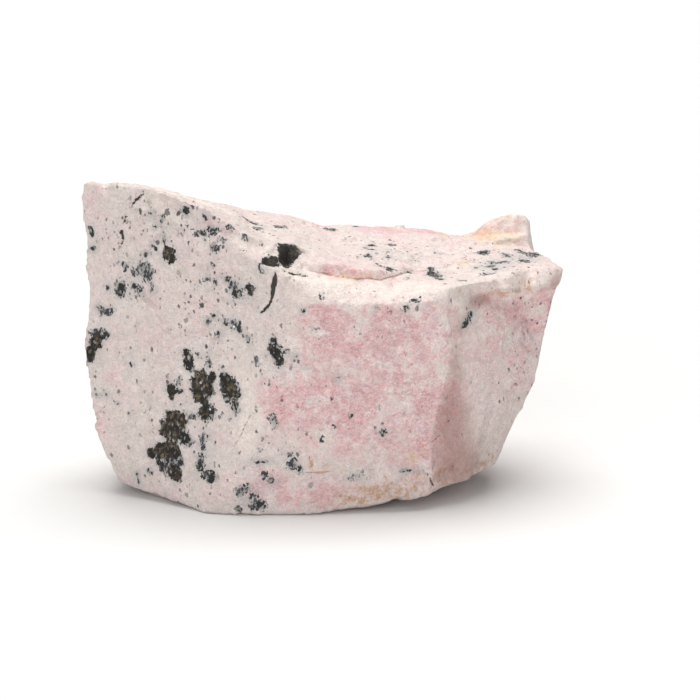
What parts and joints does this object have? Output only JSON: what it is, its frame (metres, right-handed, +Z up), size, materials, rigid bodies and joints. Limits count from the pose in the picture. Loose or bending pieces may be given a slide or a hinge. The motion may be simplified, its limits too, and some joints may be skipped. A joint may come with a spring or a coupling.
{
  "type": "rhodochrosite specimen",
  "caption": "Rough broken mineral specimen: pink and cream stone with black-brown spots, a steep front in two faces, a stepped sloping top and a flat spot to rest on.",
  "frame": {"origin": "middle of the stone's box, on the plane it rests on", "axes": "+X along the stone's long side, to the right seen from the front; +Y to the back; +Z up"},
  "size_m": [0.052, 0.0272, 0.0348],
  "materials": {
    "stone": "dull broken rock: rose-pink and cream mottling, black-brown manganese oxide spots and a little rust stain"
  },
  "bodies": {
    "root": {"stone": "stone"}
  },
  "joints": []
}
